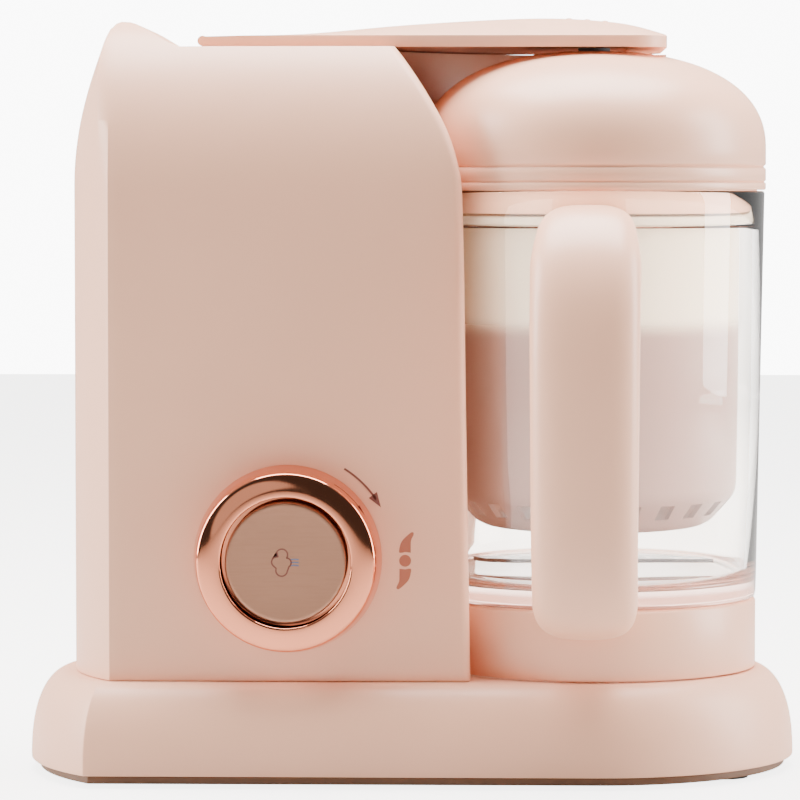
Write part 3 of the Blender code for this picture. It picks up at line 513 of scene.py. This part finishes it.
def tower_ring(z, inset=0.0):
    """Plan outline at one height, counted from the crease along the front."""
    front, back = front_at(z) + inset, BACK - inset
    edge = smooth_height(RECESS, z) + inset
    fillet_y = front + FILLET
    fillet_x = -math.sqrt((edge + FILLET) ** 2 - (fillet_y - RECESS_Y) ** 2)
    crease_x = CREASE_X + inset * 0.6
    points = [(crease_x + (fillet_x - crease_x) * i / 24, front) for i in range(24)]
    toward = math.degrees(math.atan2(RECESS_Y - fillet_y, -fillet_x))
    points += arc((fillet_x, fillet_y), FILLET, FILLET, -90, toward, 10)
    end_x = wing_end(z) - inset
    end_angle = math.degrees(math.acos(max(-1.0, end_x / (RECESS_BACK_R + inset))))
    points += recess_arc(z, inset, 180 + toward, end_angle, 48)[1:]
    points[-1] = (end_x, min(points[-1][1], back - 1.4 * MM))
    tip = (end_x - WING_EDGE_R, back - WING_EDGE_R)
    points += arc(tip, WING_EDGE_R, WING_EDGE_R, 0, 90, 4)
    side = left_side(-inset, front, back, 36)
    points += [(tip[0] + (side[0][0] - tip[0]) * i / 12, back) for i in range(1, 12)]
    lean = max(0.0, z - LEAN_FROM) ** 2 / (2 * LEAN_RADIUS)
    bulge = max(0.02, (CREASE_X - LEFT - lean) / (CREASE_X - LEFT))
    for x, y in side[:-1]:
        points.append((crease_x + (x - crease_x) * bulge if x < crease_x else x, y))
    return [Vector((x, y, z)) + AXIS for x, y in points]


def face_profile():
    """Front view of the top: a raised left edge that runs down to a level shelf."""
    crown = [(-0.25, TOWER_LOW - 1 * MM), (-0.25, 253.2 * MM), (-164.2 * MM, 253.6 * MM),
             (-163.2 * MM, 255.2 * MM), (-161.6 * MM, RIDGE_Z), (RIDGE_RIGHT, RIDGE_Z - 0.2 * MM)]
    slope = []
    for i in range(1, 11):
        t = i / 10
        ease = t * t * (3 - 2 * t)
        slope.append((RIDGE_RIGHT + (SHELF_LEFT - RIDGE_RIGHT) * t,
                      RIDGE_Z - 0.2 * MM + (SHELF_Z - RIDGE_Z + 0.2 * MM) * (0.45 * t + 0.55 * ease)))
    return crown + slope + [(60 * MM, SHELF_Z), (60 * MM, TOWER_LOW - 1 * MM)]


def tower_levels(low, high):
    """Heights, closer together where the rear wall sweeps out and the front curves back."""
    levels = [low, 45 * MM, WING_LOW]
    levels += [WING_LOW + (145 * MM - WING_LOW) * math.sin(math.pi / 2 * i / 24)
               for i in range(1, 25)]
    levels += [WING_HIGH, 165 * MM, 180 * MM, 190 * MM]
    levels += [BEND_Z + (high - BEND_Z) * math.sin(math.pi / 2 * i / 26) for i in range(27)]
    return levels


def make_tower():
    tower = rings_object("tower_body", [tower_ring(z) for z in tower_levels(TOWER_LOW, 257.5 * MM)],
                         angle=30)
    cut(tower, prism("face", face_profile(), -0.3, 0.3, "Y"), "INTERSECT")
    add_bevel(tower, 0.9 * MM, 3, 32)
    levels = tower_levels(TOWER_LOW - 2 * MM, SHELF_Z - TOWER_WALL)
    cut(tower, rings_object("hollow", [tower_ring(z, TOWER_WALL) for z in levels]))
    mouth = [(0, 262), (38.0, 262), (22.6, 247.0), (21.4, 246.0), (21.4, 240), (0, 240)]
    cut(tower, turned("mouth", [(r * MM, z * MM) for r, z in mouth], MOUTH, 96, on_axis=True))
    x, (_, y_low, _), (_, y_high, _) = HINGE.x - AXIS.x, *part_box("hinge_bracket")
    y_low, y_high = y_low - AXIS.y + 3.7 * MM, y_high - AXIS.y - 3.7 * MM
    cut(tower, block("slot", (x - 2.3 * MM, y_low, 242 * MM), (x + 2.3 * MM, y_high, 252 * MM)))
    low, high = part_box("cord_gland")
    gland_x, gland_z = (low[0] + high[0]) / 2, (low[2] + high[2]) / 2
    cut(tower, rod("gland_hole", 6.3 * MM, 0.1, 0.05, gland_x, gland_z, 48))
    tower.data.shade_smooth()
    tower.data.set_sharp_from_angle(angle=math.radians(45))
    settle(tower, "peach", "root", "peach_plastic", "tower_shell")


# ---- steam arm --------------------------------------------------------------------
ARM_LOW, ARM_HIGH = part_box("arm_cover")
ARM_RIGHT = ARM_HIGH[0] - AXIS.x
ARM_FRONT, ARM_REAR = ARM_LOW[1] - AXIS.y, ARM_HIGH[1] - AXIS.y
ARM_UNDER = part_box("arm_liner")[0][2]
CROWN = [(x * MM, z * MM) for x, z in
         [(-136.0, 250.9), (-128.0, 251.3), (-101.0, 252.8), (-67.0, 256.0), (-32.0, 258.1),
          (-12.0, 258.4), (7.0, 257.1), (16.0, 255.4), (26.0, 252.3)]]


def arm_section(x, inset):
    """Ring round the arm: flat underside, low side walls, arched top with soft corners."""
    corner = 14 * MM
    reach = max(0.0, corner - max(0.0, ARM_RIGHT - x))
    narrow = corner - math.sqrt(max(0.0, corner ** 2 - reach ** 2))
    front, rear = ARM_FRONT + inset + narrow, ARM_REAR - inset - narrow
    crown = smooth_height(CROWN, x) - inset
    side = min(251.2 * MM, 0.5 * (crown + inset + ARM_UNDER) + 1.5 * MM) - inset
    ring = []
    for step in range(33):
        across = step / 32
        height = side + (crown - side) * math.sin(math.pi * across) ** 0.8
        ring.append(Vector((x, front + (rear - front) * across, height)) + AXIS)
    foot = ARM_UNDER - inset * 3
    return [Vector((x, front, foot)) + AXIS] + ring + [Vector((x, rear, foot)) + AXIS]


def arm_stations(start):
    straight = [start + (7 * MM - start) * i / 40 for i in range(41)]
    ends = [ARM_RIGHT - 0.15 * MM - 14 * MM * (1 - math.sin(math.pi / 2 * i / 12))
            for i in range(13)]
    return straight + ends


def grip_bump(x):
    """One of the low ridges across the arm's crown, for the fingers."""
    foot = smooth_height(CROWN, x) - 0.9 * MM
    rings = []
    for spread_out, rise in ((1.0, 0.0), (0.95, 0.55), (0.75, 0.85), (0.4, 0.97), (0.05, 1.0)):
        outline = arc((x, 19 * MM), 1.5 * MM * spread_out, 11 * MM * spread_out, 0, 360, 32)[:-1]
        rings.append([Vector((a, b, foot + 0.95 * MM * rise)) + AXIS for a, b in outline])
    return rings_object("grip", rings)


def make_arm():
    start = HINGE.x - AXIS.x
    cover = rings_object("steam_arm", [arm_section(x, 0.15 * MM) for x in arm_stations(start)],
                         angle=30)
    cut(cover, rod("knuckle", 1.75 * MM, ARM_REAR, ARM_FRONT, HINGE.x, HINGE.z), "UNION")
    cut(cover, rings_object("hollow", [arm_section(start + (10 + 5 * i) * MM, 1.8 * MM)
                                       for i in range(28)]))
    low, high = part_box("hinge_bracket")
    y_low, y_high = low[1] - AXIS.y + 3.8 * MM, high[1] - AXIS.y - 3.8 * MM
    cut(cover, block("notch", (start - 4 * MM, y_low, 244 * MM),
                     (start + 2.6 * MM, y_high, 256 * MM)))
    cut(cover, rod("bore", 1.05 * MM, 47 * MM, -7 * MM, HINGE.x, HINGE.z, 24))
    for x in (-8.5 * MM, -2.2 * MM, 4.0 * MM):
        cut(cover, grip_bump(x), "UNION")
    add_bevel(cover, 0.35 * MM, 3, 40)
    settle(cover, "peach", "arm", "peach_plastic", "arm_cover")


# ---- lid --------------------------------------------------------------------------
LID_LOW, LID_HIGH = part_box("lid_dome")
LID_R = (LID_HIGH[0] - LID_LOW[0]) / 2
DOME_START, DOME_POWER = 212.5 * MM, 2.3


def dome(radius, height, steps=48):
    points = []
    for i in range(steps + 1):
        angle = math.pi / 2 * i / steps
        points.append((radius * math.sin(angle) ** (2 / DOME_POWER),
                       DOME_START + height * max(math.cos(angle), 0.0) ** (2 / DOME_POWER)))
    return points


def groove(z, depth=0.8, width=0.9):
    """Round-bottomed groove in the lid's band."""
    steps = [(0.0, 1.0), (0.25, 0.7), (0.75, 0.32), (1.0, 0.0),
             (0.75, -0.32), (0.25, -0.7), (0.0, -1.0)]
    return [(LID_R - depth * MM * d, (z + width * w) * MM) for d, w in steps]


def make_lid():
    outer = [p for p in dome(LID_R, LID_HIGH[2] - DOME_START) if p[0] > 10.6 * MM]
    lip = [(9.7 * MM, LID_HIGH[2] - 1.1 * MM), (10.0 * MM, LID_HIGH[2] - 0.5 * MM)]
    band = (groove(206.6) + groove(201.4, 0.6, 0.6)
            + [(LID_R, 199.2 * MM), (LID_R - 0.2 * MM, 198.75 * MM), (LID_R - 0.7 * MM, 198.6 * MM)])
    skirt = [(56.2 * MM, 198.6 * MM), (56.2 * MM, 191.2 * MM), (55.8 * MM, 190.5 * MM),
             (54.4 * MM, 190.5 * MM), (54.0 * MM, 191.2 * MM)]
    inner = [p for p in reversed(dome(LID_R - 4.4 * MM, LID_HIGH[2] - DOME_START - 2.4 * MM))
             if p[0] > 10.6 * MM] + [(9.7 * MM, LID_HIGH[2] - 2.4 * MM)]
    lid = turned("lid_cover", lip + outer + band + skirt + inner, steps=160, angle=50)
    settle(lid, "peach_soft", "lid", "peach_plastic", "lid_dome")


# ---- bowl -------------------------------------------------------------------------
def make_bowl():
    profile = [(58.0, 198.3), (58.5, 198.1), (58.8, 197.5), (58.7, 193.0), (57.5, 128.0),
               (56.4, 66.0), (56.2, 60.5), (55.9, 59.0), (55.2, 58.3), (52.5, 58.3), (52.5, 50.2),
               (52.3, 50.0), (50.2, 50.0), (50.0, 50.2), (50.0, 60.0), (6.2, 60.0), (6.2, 64.0),
               (30.0, 64.0), (48.0, 64.2), (51.0, 64.9), (52.8, 66.6), (53.6, 69.5), (54.4, 128.0),
               (55.1, 185.0), (55.3, 185.8), (56.4, 186.3), (56.7, 187.2), (57.0, 197.8),
               (57.4, 198.3)]
    bowl = turned("bowl_jug", [(r * MM, z * MM) for r, z in profile], steps=160, angle=50)
    settle(bowl, "clear", "bowl", "clear_bowl", "bowl_clear")

    low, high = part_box("bowl_collar")
    ring = [(55.0, high[2] / MM), (55.8, high[2] / MM - 0.2), (56.2, high[2] / MM - 0.9),
            (56.2, low[2] / MM + 0.5), (55.9, low[2] / MM), (53.2, low[2] / MM),
            (52.9, low[2] / MM + 0.3), (52.9, high[2] / MM)]
    collar = turned("bowl_ring", [(r * MM, z * MM) for r, z in ring], steps=160, angle=50)
    settle(collar, "peach_soft", "bowl", "peach_plastic", "bowl_collar")


HANDLE_PATH = [(56.5, 185.3, 16.5), (62.0, 185.0, 17.5), (69.0, 183.2, 18.4), (76.0, 178.2, 19.0),
               (82.0, 170.5, 19.2), (86.0, 160.5, 19.0), (88.2, 147.0, 18.6), (88.7, 130.0, 18.2),
               (88.6, 112.0, 17.9), (88.2, 95.0, 17.5), (87.2, 80.0, 17.2), (84.2, 69.0, 17.0),
               (78.5, 61.8, 16.8), (70.5, 58.6, 16.4), (62.0, 57.8, 16.0), (55.5, 57.8, 16.0)]
HANDLE_WIDTHS = (36.6, 34.5)
HANDLE_NECK, HANDLE_NECK_REACH = 0.75, 80.0    # narrower where it curves in to the ring
HANDLE_TURN = math.radians(-3.0)


def make_handle(sides=48, power=2.8):
    path = smooth_path(HANDLE_PATH, 96)
    top, bottom = path[0][1], path[-1][1]
    rings = []
    for i, (reach, height, thick) in enumerate(path):
        before, after = path[max(i - 1, 0)], path[min(i + 1, len(path) - 1)]
        along = Vector((after[0] - before[0], after[1] - before[1])).normalized()
        across = Vector((-along.y, along.x))
        drop = (top - height) / (top - bottom)
        width = HANDLE_WIDTHS[0] + (HANDLE_WIDTHS[1] - HANDLE_WIDTHS[0]) * drop
        width *= 1 - HANDLE_NECK * (1 - min(1.0, reach / HANDLE_NECK_REACH))
        ring = []
        for step in range(sides):
            angle = 2 * math.pi * step / sides
            c, s = math.cos(angle), math.sin(angle)
            side = math.copysign(abs(c) ** (2 / power), c) * width / 2
            out = math.copysign(abs(s) ** (2 / power), s) * thick / 2
            ring.append(Vector((side, -(reach + across.x * out), height + across.y * out)) * MM)
        rings.append(ring)
    handle = rings_object("bowl_grip", rings, angle=60)
    handle.data.transform(Matrix.Rotation(HANDLE_TURN, 4, "Z"))
    handle.data.transform(Matrix.Translation(AXIS))
    settle(handle, "peach_soft", "bowl", "peach_plastic", "bowl_handle")


# ---- basket -----------------------------------------------------------------------
def make_basket(slots=24):
    outside = [(55.4, 189.5), (55.8, 189.1), (55.8, 186.9), (55.4, 186.5), (50.9, 186.5),
               (50.5, 186.1), (50.0, 140.0), (49.6, 97.0), (49.2, 94.4), (48.2, 92.4), (46.0, 89.6),
               (42.4, 85.2), (40.8, 83.6), (38.6, 82.4), (36.0, 82.0)]
    inside = [(36.0, 83.8), (38.0, 84.1), (39.8, 85.2), (45.0, 91.2), (47.2, 94.0),
              (47.8, 96.8), (48.2, 140.0), (48.8, 186.4), (49.4, 188.6), (50.2, 189.5)]
    basket = turned("basket_cup", [(r * MM, z * MM) for r, z in outside + inside], steps=144,
                    angle=50)
    floor = [(0, 83.8), (36.5, 83.8), (36.5, 82.0), (0, 82.0)]
    cut(basket, turned("floor", [(r * MM, z * MM) for r, z in floor], steps=144, on_axis=True),
        "UNION")
    for i in range(slots // 2):
        slot = block("slot", (-60 * MM, -2.7 * MM, 87.0 * MM), (60 * MM, 2.7 * MM, 92.2 * MM))
        turn = Matrix.Rotation(math.pi * i / (slots // 2), 4, "Z")
        slot.data.transform(Matrix.Translation(AXIS) @ turn @ Matrix.Translation(-AXIS))
        cut(basket, slot)
    basket.data.shade_smooth()
    basket.data.set_sharp_from_angle(angle=math.radians(40))
    settle(basket, "basket", "bowl", "tinted_basket", "steam_basket")


# ---- knob, button and printed signs -------------------------------------------------
def make_knob():
    r, hole = KNOB_R / MM, BUTTON_R / MM + 1.4
    profile = [(hole, 6.0), (hole, 15.7), (hole + 0.1, 16.1), (hole + 0.35, 16.35),
               (hole + 0.8, 16.45), (r - 3.2, 15.55), (r - 2.6, 15.4), (r - 2.1, 15.1),
               (r - 1.8, 14.5), (r - 0.9, 8.0), (r - 0.1, 1.6), (r, 0.9), (r - 0.2, 0.3),
               (3.6, 0.3), (3.6, 6.0)]
    ring = turned("knob_trim", [(a * MM, b * MM) for a, b in profile], KNOB, 160,
                  to_front=True, angle=50)
    settle(ring, "rose", "knob", "rose_gold", "knob_ring")

    b = BUTTON_R / MM
    face = [(0, 14.75), (b * 0.5, 14.8), (b - 1.6, 14.95), (b - 0.9, 15.0), (b - 0.35, 14.85),
            (b - 0.05, 14.4), (b, 13.9), (b, 12.0), (3.0, 12.0), (3.0, -24.0), (0, -24.0)]
    button = turned("steam_push", [(a * MM, z * MM) for a, z in face], KNOB, 160,
                    on_axis=True, to_front=True, angle=50)
    settle(button, "copper", "button", "satin_copper", "steam_button")


def flat_sign(name, outlines, depth, look, body, slot, thick=0.12 * MM):
    """Thin raised print: closed (x, z) outlines on a plane facing the front."""
    shape = bmesh.new()
    for outline in outlines:
        back = [shape.verts.new((x, depth, z)) for x, z in outline]
        front = [shape.verts.new((x, depth - thick, z)) for x, z in outline]
        shape.faces.new(back)
        shape.faces.new(list(reversed(front)))
        for i in range(len(outline)):
            j = (i + 1) % len(outline)
            shape.faces.new((back[i], front[i], front[j], back[j]))
    sign = mesh_object(name, shape)
    settle(sign, look, body, slot)


def band(path, width):
    """Closed outline of a stroke of one width along a path of (x, z) points."""
    left, right = [], []
    for i, (x, z) in enumerate(path):
        before, after = path[max(i - 1, 0)], path[min(i + 1, len(path) - 1)]
        along = Vector((after[0] - before[0], after[1] - before[1])).normalized()
        left.append((x - along.y * width / 2, z + along.x * width / 2))
        right.append((x + along.y * width / 2, z - along.x * width / 2))
    return left + list(reversed(right))


def make_signs():
    panel = KNOB.y + 0.03 * MM
    centre = (KNOB.x, KNOB.z)
    sweep = arc(centre, 35.6 * MM, 35.6 * MM, 58, 34, 20)
    tip = arc(centre, 35.6 * MM, 35.6 * MM, 29, 29, 1)[0]
    head = [tip] + [arc(centre, r * MM, r * MM, 37, 37, 1)[0] for r in (33.9, 37.3)]
    flat_sign("turn_arrow", [band(sweep, 0.7 * MM), head], panel, "icon_brown", "root",
              "brown_plastic")

    x0, z0 = KNOB.x + 39.2 * MM, KNOB.z - 0.6 * MM
    hub = arc((x0, z0), 2.0 * MM, 2.0 * MM, 0, 360, 28)[:-1]
    lobe = [(1.9, 2.7), (1.9, 4.6), (2.0, 6.8), (2.7, 8.4), (2.9, 9.2), (2.4, 9.6), (1.6, 9.2),
            (0.2, 8.0), (-1.2, 6.4), (-1.85, 4.4), (-1.9, 2.7), (0.0, 2.9)]
    outer = smooth_path(lobe, 48)
    upper = [(x0 + x * MM, z0 + z * MM) for x, z in outer]
    lower = [(x0 - x * MM, z0 - z * MM) for x, z in outer]
    flat_sign("blade_sign", [hub, upper, lower], panel, "icon_copper", "root", "satin_copper")

    face = KNOB.y - 14.75 * MM
    x1, z1 = KNOB.x - 0.6 * MM, KNOB.z
    puffs = [(-0.6, 2.6, 1.9, -35, 150), (-2.3, 0.2, 1.7, 75, 235), (-0.7, -2.6, 1.9, 160, 350),
             (1.0, 0.0, 1.5, -60, 70)]
    cloud = []
    for x, z, r, start, end in puffs:
        cloud += arc((x1 + x * MM, z1 + z * MM), r * MM, r * MM, start, end, 14)
    flat_sign("steam_cloud", [band(cloud + cloud[:2], 0.5 * MM)], face, "icon_brown", "button",
              "brown_plastic")
    puff = [band([(x1 + 2.2 * MM, z1 + z * MM), (x1 + 3.4 * MM, z1 + (z + 0.15) * MM),
                  (x1 + 5.0 * MM, z1 + z * MM)], 0.4 * MM) for z in (1.0, 0.0, -1.0)]
    flat_sign("steam_lines", puff, face, "icon_blue", "button", "grey_nylon")


# ---- studio -----------------------------------------------------------------------
WORLD_LIGHT, BACKDROP_LIGHT = 0.9, 10.0


def area(name, place, target, size, energy):
    lamp = bpy.data.lights.new(name, "AREA")
    lamp.shape = "RECTANGLE"
    lamp.size, lamp.size_y = size
    lamp.energy = energy
    obj = bpy.data.objects.new(name, lamp)
    obj.location = place
    aim = Vector(target) - Vector(place)
    obj.rotation_euler = aim.to_track_quat("-Z", "Y").to_euler()
    bpy.context.scene.collection.objects.link(obj)


def seen_directly(tree):
    """1 for what the camera meets, straight or through the clear bowl, and 0 for bounced light."""
    path = tree.nodes.new("ShaderNodeLightPath")
    seen = tree.nodes.new("ShaderNodeMath")
    seen.operation = "MAXIMUM"
    tree.links.new(path.outputs["Is Camera Ray"], seen.inputs[0])
    tree.links.new(path.outputs["Is Transmission Ray"], seen.inputs[1])
    return seen.outputs["Value"]


def make_studio():
    shape = bmesh.new()
    bmesh.ops.create_grid(shape, x_segments=2, y_segments=2, size=3.0)
    floor = mesh_object("floor", shape)
    material, tree, shader = new_material("pale_floor")
    shader.inputs["Base Color"].default_value = (0.5, 0.48, 0.46, 1)
    shader.inputs["Roughness"].default_value = 0.6
    shader.inputs["Emission Color"].default_value = (1.0, 0.99, 0.98, 1)
    glow = tree.nodes.new("ShaderNodeMapRange")
    glow.inputs["To Min"].default_value = 0.15
    glow.inputs["To Max"].default_value = 4.5
    tree.links.new(seen_directly(tree), glow.inputs["Value"])
    tree.links.new(glow.outputs["Result"], shader.inputs["Emission Strength"])
    floor.data.materials.append(material)

    make_world()
    heart = (0, 0, 0.13)
    area("overhead", (0.0, 0.12, 1.3), heart, (1.2, 0.8), 72)
    area("left_side", (-1.35, -0.1, 0.6), heart, (0.6, 1.1), 40)
    area("right_side", (1.35, 0.0, 0.55), heart, (0.6, 1.1), 36)


def make_world():
    """Bright all round and dim in front, with one small bright card in front on the left."""
    world = bpy.data.worlds.new("studio")
    world.use_nodes = True
    bpy.context.scene.world = world
    tree = world.node_tree
    where = tree.nodes.new("ShaderNodeTexCoord")

    def towards(direction, start, end, low, high):
        dot = tree.nodes.new("ShaderNodeVectorMath")
        dot.operation = "DOT_PRODUCT"
        dot.inputs[1].default_value = Vector(direction).normalized()
        tree.links.new(where.outputs["Generated"], dot.inputs[0])
        level = tree.nodes.new("ShaderNodeMapRange")
        level.interpolation_type = "SMOOTHSTEP"
        level.inputs["From Min"].default_value = start
        level.inputs["From Max"].default_value = end
        level.inputs["To Min"].default_value = low
        level.inputs["To Max"].default_value = high
        tree.links.new(dot.outputs["Value"], level.inputs["Value"])
        return level.outputs["Result"]

    front = towards((0, -1, 0), -0.2, 0.8, WORLD_LIGHT, WORLD_LIGHT * 0.08)
    card = towards((-0.2, -1, 0.12), 0.985, 0.99, 0.0, 0.8)
    total = tree.nodes.new("ShaderNodeMath")
    tree.links.new(front, total.inputs[0])
    tree.links.new(card, total.inputs[1])
    light = tree.nodes["Background"]
    light.inputs["Color"].default_value = (1.0, 0.985, 0.965, 1)
    tree.links.new(total.outputs["Value"], light.inputs["Strength"])
    plain = tree.nodes.new("ShaderNodeBackground")
    plain.inputs["Color"].default_value = (1.0, 1.0, 1.0, 1)
    plain.inputs["Strength"].default_value = BACKDROP_LIGHT
    blend = tree.nodes.new("ShaderNodeMixShader")
    tree.links.new(seen_directly(tree), blend.inputs["Fac"])
    tree.links.new(light.outputs["Background"], blend.inputs[1])
    tree.links.new(plain.outputs["Background"], blend.inputs[2])
    tree.links.new(blend.outputs["Shader"], tree.nodes["World Output"].inputs["Surface"])


def make_camera():
    """Seen from the front at bowl height, a little from the right, tilted down."""
    turn, tilt = math.radians(1.5), math.radians(2.94)
    right = Vector((math.cos(turn), math.sin(turn), 0))
    ahead = Vector((-math.sin(turn), math.cos(turn), 0))
    lens = bpy.data.cameras.new("camera")
    lens.lens = 184.05
    lens.sensor_width = 36.0
    lens.clip_start = 0.05
    camera = bpy.data.objects.new("camera", lens)
    camera.location = AXIS - right * 66.9 * MM - ahead * 1.414 + Vector((0, 0, 198.6 * MM))
    camera.rotation_euler = (math.radians(90) - tilt, 0, turn)
    bpy.context.scene.collection.objects.link(camera)
    bpy.context.scene.camera = camera


make_camera()
make_studio()
dress_frame()
make_base()
make_tower()
make_arm()
make_lid()
make_bowl()
make_handle()
make_basket()
make_knob()
make_signs()
